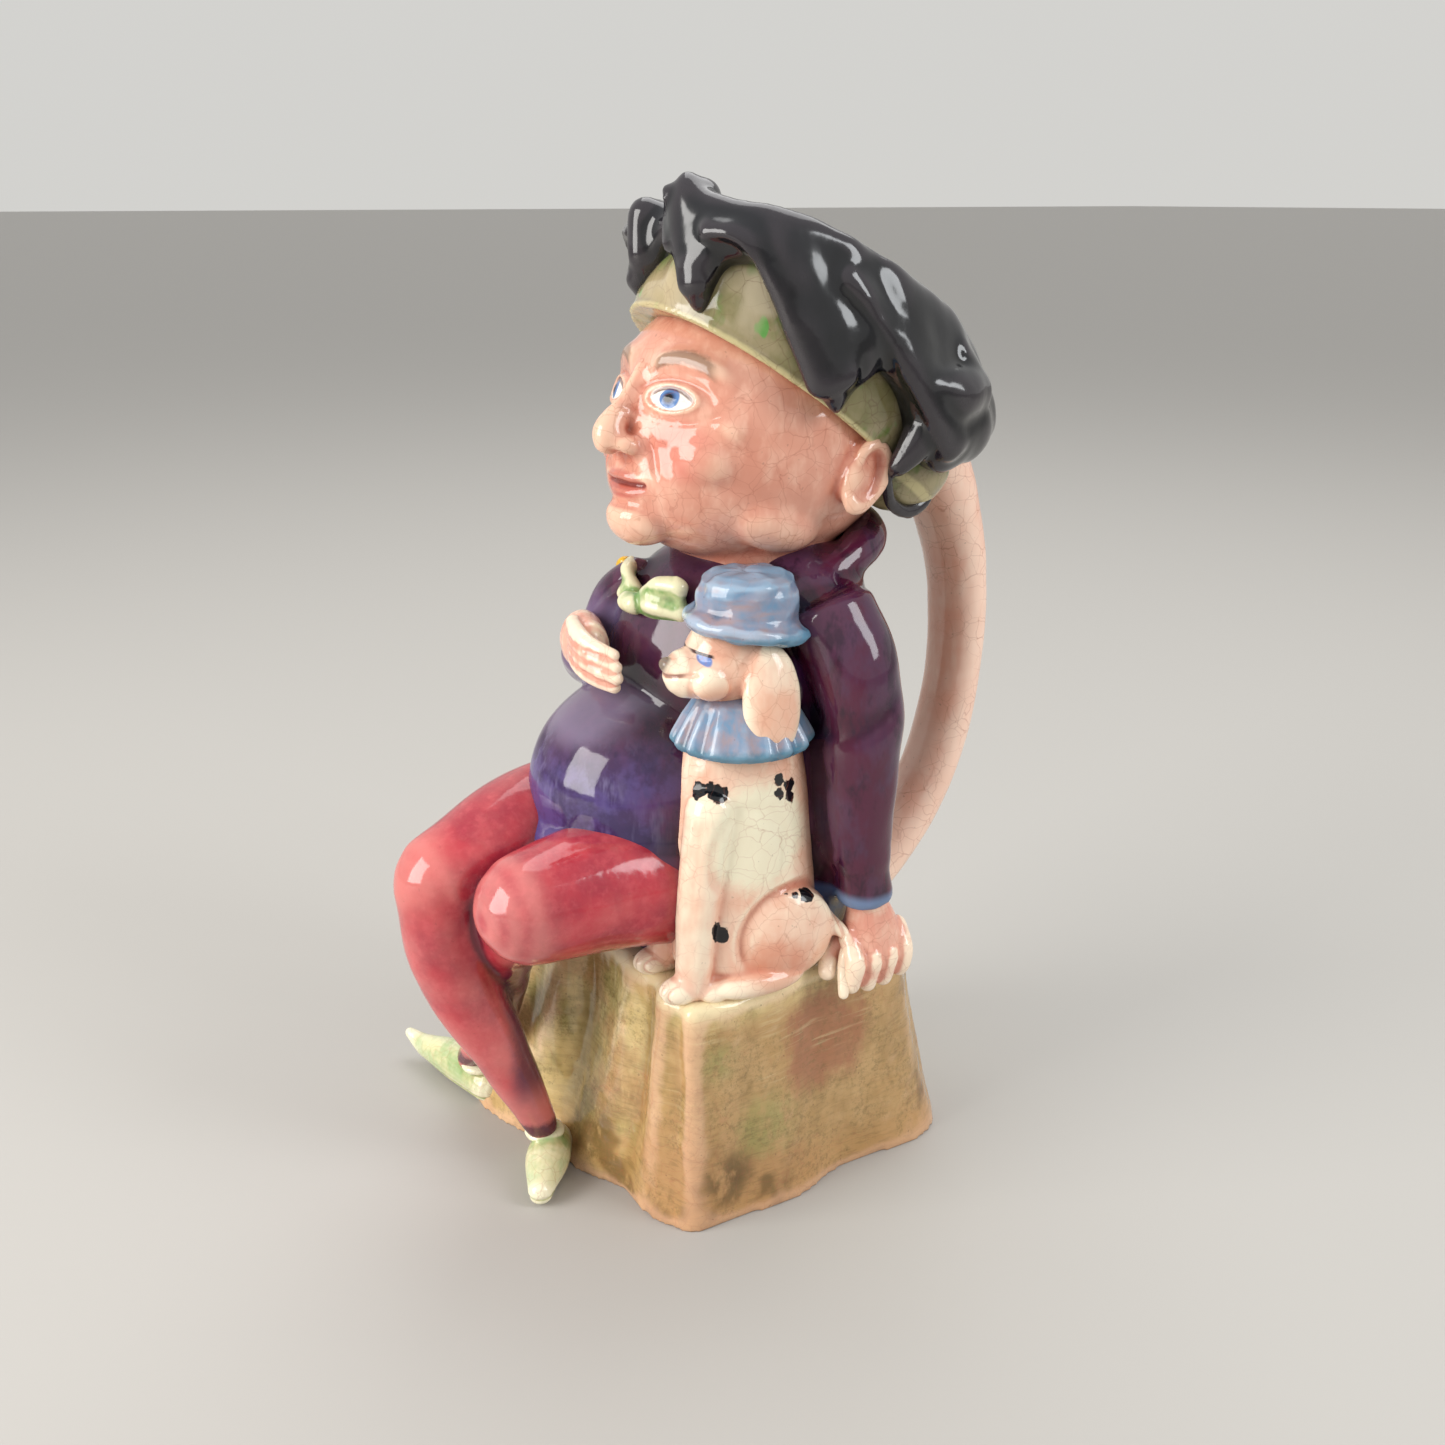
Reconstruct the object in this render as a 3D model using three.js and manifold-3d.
// A glazed toby jug: a man in a cap sits on a rock, with a small dog in a hat and ruff at his side.
// The hollow of the jug runs from the mouth in his cap down through his body into the rock.
// Millimetres, +Z up. He faces -Y, and his left hand and the dog are on the +X side.
import * as THREE from 'three';
import { mergeVertices } from 'three/addons/utils/BufferGeometryUtils.js';
import Module from 'manifold-3d';

const wasm = await Module();
wasm.setup();

// Driving sizes of the jug
const jugHeight = 190; // table to the tip of the pouring lip
const seatHeight = 47; // table to the top of the rock
const seatWidth = 60; // the rock's foot, from his right to his left
const seatDepth = 75; // the rock's foot, from front to back
const wallThickness = 4;
const floorThickness = 5;
const footRecess = 1.5; // depth of the hollow under the foot
const footRim = 6; // width of the rim that the jug stands on
const mouthWidth = 41;
const mouthDepth = 47;
const handleWidth = 14;
const handleThickness = 10;
const handleReach = 59; // how far the handle's middle line stands behind his spine
const dogHeight = 79; // the rock to the top of the dog's hat

// The figure and the dog keep their own proportions: their places and radii are written in the
// sculptor's units, so many to the height of the seated figure, and so many to the dog's.
const figureUnits = 143;
const dogUnits = 79;
const unit = (jugHeight - seatHeight) / figureUnits;
const dogUnit = dogHeight / dogUnits;

const radians = THREE.MathUtils.degToRad;
const lerp = THREE.MathUtils.lerp;

// Places on the figure, measured from the top of the rock
const onFigure = (x, y, z) => new THREE.Vector3(x * unit, y * unit, seatHeight + z * unit);
// Places by the figure's feet, measured from the table
const onTable = (x, y, z) => new THREE.Vector3(x * unit, y * unit, z * unit);

// Frames of the parts that turn as one
function frameAt(place, pitch, roll, yaw) {
  const turn = new THREE.Matrix4().makeRotationFromEuler(
    new THREE.Euler(radians(pitch), radians(roll), radians(yaw), 'ZXY'),
  );
  return turn.setPosition(place);
}
const headFrame = frameAt(onFigure(0, 9, 99), -15, 0, 6);
const dogFrame = frameAt(new THREE.Vector3(19.5 * unit, -5 * unit, seatHeight), 0, 0, -4);

const onHead = (x, y, z) => new THREE.Vector3(x, y, z).multiplyScalar(unit).applyMatrix4(headFrame);
const onDog = (x, y, z) => new THREE.Vector3(x, y, z).multiplyScalar(dogUnit).applyMatrix4(dogFrame);

// Turns a closed geometry into a solid that can be joined and cut
function solidOf(geometry) {
  geometry.deleteAttribute('normal');
  geometry.deleteAttribute('uv');
  const merged = mergeVertices(geometry, 1e-4);
  return new wasm.Manifold(
    new wasm.Mesh({
      numProp: 3,
      vertProperties: merged.attributes.position.array,
      triVerts: new Uint32Array(merged.index.array),
    }),
  );
}

const join = (solids) => solids.reduce((sum, solid) => sum.add(solid));

// A closed skin over rings of points, each ring the same count, capped at both ends or joined round
function skin(rings, closesOnItself = false) {
  const count = rings[0].length;
  const points = rings.flat();
  const faces = [];
  const spans = closesOnItself ? rings.length : rings.length - 1;
  for (let i = 0; i < spans; i++) {
    const here = i * count;
    const next = ((i + 1) % rings.length) * count;
    for (let j = 0; j < count; j++) {
      const k = (j + 1) % count;
      faces.push(here + j, here + k, next + k, here + j, next + k, next + j);
    }
  }
  if (!closesOnItself) {
    for (const [start, flip] of [[0, true], [(rings.length - 1) * count, false]]) {
      const middle = points.length;
      const ring = points.slice(start, start + count);
      points.push(ring.reduce((sum, p) => sum.add(p), new THREE.Vector3()).divideScalar(count));
      for (let j = 0; j < count; j++) {
        const a = start + j;
        const b = start + ((j + 1) % count);
        faces.push(...(flip ? [b, a, middle] : [a, b, middle]));
      }
    }
  }
  const geometry = new THREE.BufferGeometry().setFromPoints(points);
  geometry.setIndex(faces);
  const solid = solidOf(geometry);
  if (solid.volume() > 0) return solid;
  geometry.setIndex(faces.map((_, i) => faces[i - (i % 3) + 2 - (i % 3)]));
  return solidOf(geometry);
}

// An egg, given its middle and its half sizes along a frame's own axes
function egg(place, radii, { frame = new THREE.Matrix4(), pitch = 0, roll = 0, yaw = 0, inset = 0, fine = 1 } = {}) {
  const geometry = new THREE.SphereGeometry(1, Math.round(16 * fine), Math.round(11 * fine));
  geometry.rotateX(Math.PI / 2);
  geometry.scale(...radii.map((radius) => radius - inset));
  const turn = new THREE.Matrix4().makeRotationFromEuler(
    new THREE.Euler(radians(pitch), radians(roll), radians(yaw), 'ZXY'),
  );
  geometry.applyMatrix4(turn);
  geometry.applyMatrix4(new THREE.Matrix4().extractRotation(frame));
  geometry.translate(place.x, place.y, place.z);
  return solidOf(geometry);
}

// A level direction across a limb: his left, or straight up where the limb itself runs sideways
function sideOf(stations) {
  const run = stations.at(-1)[0].clone().sub(stations[0][0]).normalize();
  return Math.abs(run.x) < 0.75 ? new THREE.Vector3(1, 0, 0) : new THREE.Vector3(0, 0, 1);
}

// A limb along a smooth line. Each station is a place, a half width and, where the limb is flat,
// a half thickness. Its ends are round. "side" is the way that the half width lies.
function limb(stations, { sides = 8, steps = 5, side = sideOf(stations), blunt = 1, ends = [70, 35] } = {}) {
  const line = new THREE.CatmullRomCurve3(stations.map((s) => s[0]), false, 'centripetal');
  const girth = new THREE.CatmullRomCurve3(
    stations.map((s, i) => new THREE.Vector3(s[1], s[2] ?? s[1], i * 10)),
  );
  const rings = [];
  const addRing = (t, shift, shrink) => {
    const along = line.getTangent(t);
    const middle = line.getPoint(t).addScaledVector(along, shift);
    const across = side.clone().addScaledVector(along, -side.dot(along)).normalize();
    const up = along.clone().cross(across);
    const { x: halfWidth, y: halfThickness } = girth.getPoint(t);
    rings.push(
      Array.from({ length: sides }, (_, j) => {
        const angle = (2 * Math.PI * j) / sides;
        return middle
          .clone()
          .addScaledVector(across, halfWidth * shrink * Math.cos(angle))
          .addScaledVector(up, halfThickness * shrink * Math.sin(angle));
      }),
    );
  };
  const reachAt = (t) => Math.min(girth.getPoint(t).x, girth.getPoint(t).y) * blunt;
  ends.forEach((a) => addRing(0, -reachAt(0) * Math.sin(radians(a)), Math.cos(radians(a))));
  for (let i = 0; i <= steps; i++) addRing(i / steps, 0, 1);
  [...ends].reverse().forEach((a) => addRing(1, reachAt(1) * Math.sin(radians(a)), Math.cos(radians(a))));
  return skin(rings);
}

// Applies one scale to the radii of a limb's stations
const stationsOf = (scale, list) => list.map(([place, ...radii]) => [place, ...radii.map((r) => r * scale)]);

// The rock: eight points round its foot and round its top, as shares of its width and depth
const rockFoot = [
  [-0.5, -0.55], [0.02, -0.44], [0.52, -0.29], [0.51, 0.12],
  [0.4, 0.56], [0.0, 0.51], [-0.46, 0.52], [-0.48, 0.0],
];
const rockTop = [
  [-0.38, -0.41], [0.04, -0.3], [0.47, -0.28], [0.47, 0.08],
  [0.37, 0.43], [0.0, 0.45], [-0.4, 0.42], [-0.42, 0.02],
];
const fluteCount = 12;

function rockRing(height, inset = 0, points = 24) {
  const rise = Math.min(height / seatHeight, 1);
  const flare = Math.pow(1 - rise, 1.6);
  const corners = rockFoot.map(
    ([x, y], i) =>
      new THREE.Vector3(
        lerp(rockTop[i][0], x, flare) * seatWidth,
        lerp(rockTop[i][1], y, flare) * seatDepth,
        height,
      ),
  );
  const line = new THREE.CatmullRomCurve3(corners, true, 'centripetal');
  return Array.from({ length: points }, (_, j) => {
    const along = line.getTangent(j / points);
    const outward = new THREE.Vector3(along.y, -along.x, 0).normalize();
    return line.getPoint(j / points).addScaledVector(outward, -inset);
  });
}

// Shallow upright flutes, like hung cloth, that fade out towards the foot
function fluted(ring, height) {
  const depth = 1.1 * Math.sin(Math.PI * (1 - 0.75 * (height / seatHeight)));
  const middle = ring.reduce((sum, point) => sum.add(point), new THREE.Vector3()).divideScalar(ring.length);
  return ring.map((point, j) => {
    const turn = j / ring.length;
    const outward = point.clone().sub(middle).normalize();
    return point.addScaledVector(outward, depth * Math.sin(2 * Math.PI * fluteCount * turn + 2.2 * Math.sin(6 * turn)));
  });
}

function rock() {
  const edge = 2.2; // the rounded brow of the rock
  const rings = [0, 0.12, 0.35, 0.7].map((share) => {
    const height = share * seatHeight;
    return fluted(rockRing(height, 0, 36), height);
  });
  rings.push(rockRing(seatHeight - edge, 0, 36), rockRing(seatHeight, edge, 36));
  return skin(rings);
}

function rockHollow() {
  const top = seatHeight - wallThickness;
  return skin([floorThickness, top * 0.3, top * 0.65, top].map((height) => rockRing(height, wallThickness)));
}

// The masses that the clay wall follows, inside and out
function torso(inset = 0) {
  const shape = (x, y, z, radii) =>
    egg(onFigure(x, y, z), radii.map((r) => r * unit), { inset, fine: inset ? 0.55 : 0.95 });
  return join([
    shape(-1, 5, 12, [26.5, 27, 26]),
    shape(-2, -8, 33, [24, 28.5, 23]),
    shape(-2, -10, 23, [25, 29, 15]),
    shape(-1, 3, 55, [23.5, 22, 25]),
    shape(0, 12, 69, [27, 14, 13]),
  ]);
}

function neck(inset = 0) {
  const radius = 16 * unit - inset;
  return limb([
    [onFigure(0, 10, 64), radius],
    [onFigure(0, 10, 90), radius],
  ], { sides: 12, steps: 1, ends: [] });
}

function skull(inset = 0) {
  const shape = (place, radii, turn) =>
    egg(place, radii.map((r) => r * unit), { frame: headFrame, ...turn, inset, fine: inset ? 0.55 : 1.05 });
  return join([
    shape(onHead(0, 0, 0), [24.5, 28, 25]),
    shape(onHead(0, -8, -10), [19, 19, 15]),
  ]);
}

// The black brim is a rolled edge that hangs down in lobes. Each station is a place on top of the
// roll, how far the brim hangs below it and how far its hem stands out. It starts over his brow,
// goes round by his left ear to the back, and comes round by his right ear to the front again.
const brimStations = [
  [0, -5.5, 137, 5, 1.5],
  [6, -8, 143, 15, 2.5],
  [11.5, -7.4, 140.2, 20, 3.5],
  [16, -5.4, 138.8, 10.5, 2],
  [21.4, 0, 137.6, 9.5, 2.5],
  [24.4, 5.2, 135.8, 25, 3.5],
  [25.6, 9, 134, 29.5, 4.2],
  [26.3, 12.4, 132.3, 24, 3.2],
  [26.8, 17, 129.8, 19, 2.6],
  [26.7, 21.5, 127.4, 21, 3],
  [25.2, 28, 124.2, 31, 4.6],
  [20.5, 37, 119, 26, 6.2],
  [11, 45, 114.5, 20, 6.8],
  [0, 48.3, 112.5, 17, 7],
  [-11, 45, 114.5, 20, 6.8],
  [-20.5, 37, 119, 26, 6.2],
  [-25.2, 28, 124.2, 31, 4.6],
  [-26.7, 21.5, 127.4, 21, 3],
  [-26.8, 17, 129.8, 19, 2.6],
  [-26.3, 12.4, 132.3, 24, 3.2],
  [-25.6, 9, 134, 29.5, 4.2],
  [-24.2, 5.2, 135.4, 25, 3.5],
  [-20.8, 1.2, 136.8, 9.5, 2.5],
  [-14.6, -3, 137.4, 12, 2],
  [-9.8, -5.8, 138.6, 18.5, 3.2],
  [-5.2, -6.2, 138, 12, 2],
];
const brimTurns = 2 * brimStations.length;
const bandSlope = 0.75;

const brimLine = new THREE.CatmullRomCurve3(brimStations.map(([x, y, z]) => onFigure(x, y, z)), true, 'centripetal');
const brimHang = new THREE.CatmullRomCurve3(
  brimStations.map(([, , , hang, flare]) => new THREE.Vector3(hang * unit, flare * unit, 0)),
  true,
);
const hatMiddle = onFigure(0, 21, 0);

// Where the brim stands at a share of the way round, and which way is outward there
function brimAt(share) {
  const top = brimLine.getPoint(share);
  const outward = top.clone().sub(hatMiddle).setZ(0).normalize();
  const { x: hang, y: flare } = brimHang.getPoint(share);
  return { top, outward, hang, flare };
}

function brim() {
  const rings = Array.from({ length: brimTurns }, (_, i) => {
    const { top, outward, hang, flare } = brimAt(i / brimTurns);
    const section = [
      [-3 * unit, -2.4 * unit],
      [-0.4 * unit, 0],
      [2 * unit, -1.2 * unit],
      [2.6 * unit + flare * 0.5, -0.38 * hang],
      [1.8 * unit + flare, -0.8 * hang],
      [flare * 0.6, -hang],
      [-6 * unit, -0.8 * hang],
    ];
    return section.map(([out, up]) => top.clone().addScaledVector(outward, out).setZ(top.z + up));
  });
  return skin(rings, true);
}

// The cap's band lies on a slanted line round the head, and the cap flares up from it to the brim
function cap() {
  const capTurns = brimStations.length;
  const rings = [0, 0.45, 1].map((rise) =>
    Array.from({ length: capTurns }, (_, j) => {
      const { top, outward } = brimAt(j / capTurns);
      const low = hatMiddle.clone().setY(hatMiddle.y - 7.5 * unit);
      low.x += outward.x * 25.6 * unit;
      low.y += outward.y * 26 * unit;
      low.z = seatHeight + 99.5 * unit - (low.y - 16 * unit) * bandSlope;
      const high = top.clone().addScaledVector(outward, -2 * unit).setZ(top.z - 2.5 * unit);
      const bulge = 1.6 * unit * Math.sin(Math.PI * rise);
      return low.lerp(high, rise).addScaledVector(outward, bulge);
    }),
  );
  const middle = onFigure(0, 16, 108);
  const foot = rings[0].map((point) => point.clone().lerp(middle, 0.3));
  return skin([foot, ...rings]);
}

// Face: plain features on even proportions, with the eyes half way up the head
function face() {
  const feature = (x, y, z, radii, turn = {}) =>
    egg(onHead(x, y, z), radii.map((r) => r * unit), { frame: headFrame, fine: 0.5, ...turn });
  const tube = (stations, options) =>
    limb(stationsOf(unit, stations.map(([x, y, z, ...r]) => [onHead(x, y, z), ...r])), { sides: 6, steps: 2, ends: [50], ...options });
  const parts = [
    feature(0, -20.8, -19.8, [7, 6, 5.2], { fine: 0.5 }), // chin
    tube([[0, -26.6, 4.5, 2], [0, -29.4, -2, 2.4], [0, -31.4, -7.4, 3.1]]), // bridge and tip of the nose
    tube([[-5, -23.2, -14.8, 1.5], [0, -26.4, -13.4, 1.7], [5, -23.2, -14.8, 1.5]]), // upper lip
    tube([[-4.6, -23, -15.2, 1.5], [0, -26, -16.2, 1.8], [4.6, -23, -15.2, 1.5]]), // lower lip
  ];
  for (const sign of [-1, 1]) {
    parts.push(
      feature(sign * 3.2, -28, -8.2, [2.3, 2.8, 2], { fine: 0.38 }), // nostril
      feature(sign * 8.4, -22.7, 1, [4.2, 3, 2.6]), // eye
      tube([[sign * 4, -26.2, 6, 1.1], [sign * 9, -25.2, 7.6, 1.5], [sign * 14.5, -21, 5.4, 1]]), // brow
      feature(sign * 9.8, -17, -7, [8.6, 7.4, 7], { fine: 0.55 }), // cheek
      feature(sign * 24.2, 6, -3, [2.2, 3.8, 6], { yaw: sign * 20, pitch: -12 }), // ear
    );
  }
  return join(parts);
}

// Neckcloth and the jacket's collar
function clothing() {
  const tube = (stations, options) =>
    limb(stationsOf(unit, stations.map(([x, y, z, ...r]) => [onFigure(x, y, z), ...r])), { ends: [50], ...options });
  const upright = new THREE.Vector3(0, 0, 1);
  const bow = [-1, 1].map((sign) =>
    tube([[sign * 1, -14, 69, 2.4, 2], [sign * 5.5, -14, 70.5, 4, 2.8], [sign * 9.5, -11.5, 71, 3, 2.4]], { side: upright, sides: 6, steps: 2 }),
  );
  const knot = tube([[-3, -17, 67, 2.6], [4, -17, 67, 2.6]], { sides: 6, steps: 1 });
  const collar = tube(
    [[-9, -8, 67, 3], [-20, 6, 72, 3.4], [-15, 25, 79, 5], [0, 29, 80, 5.4], [15, 25, 79, 5], [20, 6, 72, 3.4], [9, -8, 67, 3]],
    { side: upright, sides: 6, steps: 8 },
  );
  return join([...bow, knot, collar]);
}

// Arms: his right hand lies on his belly, and his left arm props him up on the rock
function arms() {
  const tube = (stations, options) =>
    limb(stationsOf(unit, stations.map(([x, y, z, ...r]) => [onFigure(x, y, z), ...r])), options);
  const leftArm = tube(
    [[22, 11, 69, 9], [28, 13.5, 58, 8.6], [30, 13.8, 45, 7.6], [30.6, 13.4, 32, 6.3], [31, 15.4, 14.5, 4.6]],
    { sides: 9, steps: 5, blunt: 0.2, ends: [50] },
  );
  const leftHand = [tube([[31, 16, 13, 3.8], [31, 17, 7, 6.2, 4.6], [31.6, 17.2, 3, 6.8, 4.4]],
    { sides: 8, steps: 2, side: new THREE.Vector3(0, 1, 0) })];
  for (let i = 0; i < 4; i++) {
    const y = 11.6 + 3.7 * i;
    leftHand.push(tube([[31.6, y, 7, 2], [34.4, y - 0.3, 3.4, 2.2], [34, y - 0.8, -1.6, 1.8]], { sides: 5, steps: 2, ends: [50] }));
  }
  leftHand.push(tube([[29, 13, 7, 2.2], [28.6, 9.5, 3, 2.2], [30.6, 7.5, 0.6, 1.8]], { sides: 6, steps: 2, ends: [50] }));
  // The upper arm lies close against his flank
  const flank = egg(onFigure(23, 12.5, 38), [8.5, 7, 27].map((r) => r * unit), { fine: 0.7 });
  const rightArm = tube(
    [[-22, 11, 69, 9], [-30, 9, 58, 8.6], [-32, 2, 48, 7.6], [-24, -14, 52, 6.4], [-15, -21, 57, 5]],
    { sides: 9, steps: 5, blunt: 0.3, ends: [50] },
  );
  const rightHand = [tube([[-15, -20.5, 58.2, 4.6], [-6, -25, 59.4, 6.6, 4.2]],
    { sides: 8, steps: 1, side: new THREE.Vector3(0, 0, 1) })];
  for (let i = 0; i < 4; i++) {
    const z = 64.4 - 3.0 * i;
    rightHand.push(tube([[-8, -26.4, z + 0.4, 2.1], [-1, -28.2, z - 0.8, 2.1], [4, -26.8, z - 2.2, 1.8]], { sides: 5, steps: 1, ends: [50] }));
  }
  return join([leftArm, flank, ...leftHand, rightArm, ...rightHand]);
}

// Legs crossed at the shins, with pointed shoes that stand on the table
function legs() {
  const tube = (stations, options) => limb(stationsOf(unit, stations), options);
  const leftLeg = tube(
    [[onFigure(6, -12, 15), 12, 11.5], [onFigure(9, -30, 18), 11.4, 11], [onFigure(12.6, -47, 20), 9.6, 9.6]],
    { sides: 10, steps: 2, ends: [60, 25] },
  );
  const leftShin = tube(
    [[onFigure(12, -46, 17), 8], [onFigure(0, -42, -8), 6], [onTable(-20, -41, 20), 4.6], [onTable(-33, -42, 9), 3.4]],
    { sides: 7, steps: 3, ends: [50] },
  );
  const rightLeg = tube(
    [[onFigure(-12, -10, 23), 13, 12.5], [onFigure(-12, -32, 24), 12, 11.5], [onFigure(-8, -53, 19), 9.6, 9.4]],
    { sides: 10, steps: 2, ends: [60, 25] },
  );
  const rightShin = tube(
    [[onFigure(-8, -54, 18), 9], [onFigure(-7, -53, 1), 8], [onTable(-3, -45, 26), 5.4], [onTable(-1, -39, 10), 3.4]],
    { sides: 8, steps: 4, ends: [50] },
  );
  const rightShoe = tube(
    [[onTable(-3, -36, 4), 4, 4], [onTable(3, -40, 4.4), 4.2, 4.4], [onTable(9, -44, 2.8), 2.6, 2.6]],
    { sides: 7, steps: 2, ends: [50] },
  );
  const leftShoe = tube(
    [[onTable(-29, -40, 4), 4, 4], [onTable(-40, -43, 4.6), 4.6, 4.2], [onTable(-50, -47, 4.4), 2.6, 2.4], [onTable(-54, -49, 6), 1.2]],
    { sides: 7, steps: 3, ends: [50] },
  );
  return join([leftLeg, leftShin, rightLeg, rightShin, rightShoe, leftShoe]);
}

// The dog sits up on the rock, in a ruff and a round hat
function dog() {
  const lump = (x, y, z, radii, turn = {}) =>
    egg(onDog(x, y, z), radii.map((r) => r * dogUnit), { frame: dogFrame, fine: 0.5, ...turn });
  const tube = (stations, options) =>
    limb(stationsOf(dogUnit, stations.map(([x, y, z, ...r]) => [onDog(x, y, z), ...r])), options);
  const parts = [
    tube([[0, 1, 5, 10, 13.5], [0, 0.5, 22, 9.2, 12.8], [0, 0, 37, 8.6, 11.6], [0, 0, 52, 7.4, 9]], { sides: 10, steps: 3, blunt: 0.4, ends: [50] }),
    lump(0, -2.5, 62, [8, 8.6, 8.4], { fine: 0.6 }), // skull
    tube([[0, -7.5, 60.6, 5.4], [0, -10.6, 60.6, 4.6]], { sides: 8, steps: 1, ends: [50] }), // muzzle
    lump(0, -14.6, 62.6, [1.8, 1.4, 1.4], { fine: 0.38 }), // nose
    tube([[7, 12, 12, 2], [12, 14, 6, 2], [14.5, 15, 0, 1.8], [14.5, 14.5, -5, 1.1]], { sides: 6, steps: 3, ends: [50] }), // tail
  ];
  // The man's hip hides the dog's other haunch
  parts.push(lump(7.6, 6, 10.5, [4.4, 9, 10.5]), lump(9.2, -1, 1.8, [3, 7.4, 2.6], { fine: 0.38 }));
  for (const sign of [-1, 1]) {
    parts.push(
      tube([[sign * 4.6, -7.4, 34, 4.4], [sign * 5, -10.4, 16, 3.8], [sign * 5.6, -12, 2.4, 3.2]], { sides: 6, steps: 2, ends: [50] }),
      lump(sign * 6, -14.5, 1.8, [3.1, 4.2, 2.7], { fine: 0.38 }), // front paw
      lump(sign * 8.6, 1.5, 56, [2.6, 5.6, 10.8], { roll: sign * -8 }), // ear
    );
  }
  return join([...parts, dogRuff(), dogHat()]);
}

// The ruff is a flared collar with soft pleats
function dogRuff() {
  const profile = [[7, 56], [13, 48.4], [12.6, 46.6], [6, 47.4]];
  const pleats = 11;
  const turns = 2 * pleats;
  const rings = profile.map(([radius, height], i) =>
    Array.from({ length: turns }, (_, j) => {
      const angle = (2 * Math.PI * j) / turns;
      const wave = i > 0 && i < 3 ? 0.5 * Math.cos(pleats * angle) : 0;
      return onDog(Math.sin(angle) * (radius + wave), -Math.cos(angle) * (radius + wave), height);
    }),
  );
  return skin(rings);
}

// The hat has a round brim that dips at the back and a low round crown
function dogHat() {
  const profile = [[7, 66.2], [11, 67.4], [10.8, 69], [8.6, 71], [8.8, 76.6], [7, 79]];
  const turns = 13;
  const rings = profile.map(([radius, height]) =>
    Array.from({ length: turns }, (_, j) => {
      const angle = (2 * Math.PI * j) / turns;
      const back = -Math.cos(angle) * radius;
      const dip = height < 70 ? -0.14 * back : 0;
      return onDog(Math.sin(angle) * radius, back + 1, height + dip);
    }),
  );
  return skin(rings);
}

// The handle leaves the back of the head, loops out and comes back to the top of the rock
function handle() {
  const half = handleThickness / 2;
  const reach = handleReach;
  const middle = (share, z) => onFigure(0, 0, z).setY(lerp(30 * unit, reach, share));
  return limb(
    [
      [middle(0, 102), handleWidth * 0.75, half * 2],
      [middle(0.6, 92), handleWidth * 0.64, half * 1.6],
      [middle(0.93, 72), handleWidth * 0.55, half * 1.15],
      [middle(1, 46), handleWidth / 2, half],
      [middle(0.8, 22), handleWidth / 2, half],
      [middle(0.42, 6), handleWidth / 2, half],
      [middle(0.05, -3), handleWidth / 2, half],
    ],
    { sides: 9, steps: 13, ends: [50] },
  );
}

// The hollow: the same masses, smaller by the wall, opened through the mouth
function hollow() {
  const mouth = limb(
    [
      [onFigure(0, 21.5, 106), mouthWidth / 2, mouthDepth / 2],
      [onFigure(0, 21.5, 150), mouthWidth / 2, mouthDepth / 2],
    ],
    { sides: 20, steps: 1, ends: [] },
  );
  return join([
    rockHollow(),
    torso(wallThickness),
    neck(wallThickness),
    skull(wallThickness),
    mouth,
  ]);
}

// The rim that the jug stands on, left proud by the shallow hollow inside it
function underside() {
  return skin([-1, footRecess].map((height) => rockRing(0, footRim).map((point) => point.setZ(height))));
}

function belowTable() {
  const room = jugHeight * 2;
  const slab = new THREE.BoxGeometry(room, room, room);
  slab.translate(0, 0, -room / 2);
  return solidOf(slab);
}

function jugSolid() {
  const outside = join([
    rock(), torso(), neck(), skull(), cap(), brim(), face(), clothing(), arms(), legs(), dog(), handle(),
  ]);
  return outside.subtract(hollow()).subtract(underside()).subtract(belowTable());
}

// Puts the origin on the table under the middle of the jug
function centred(solid) {
  const { min, max } = solid.boundingBox();
  return solid.translate([-(min[0] + max[0]) / 2, -(min[1] + max[1]) / 2, 0]);
}

function geometryOf(solid) {
  const mesh = solid.getMesh();
  const geometry = new THREE.BufferGeometry();
  geometry.setAttribute('position', new THREE.BufferAttribute(Float32Array.from(mesh.vertProperties), 3));
  geometry.setIndex(Array.from(mesh.triVerts));
  geometry.computeVertexNormals();
  return geometry;
}

const glaze = new THREE.MeshStandardMaterial({ color: 0xd9b79f, roughness: 0.15, metalness: 0 });
const jug = new THREE.Mesh(geometryOf(centred(jugSolid())), glaze);
jug.name = 'jug';

const group = new THREE.Group();
group.add(jug);
export default group;
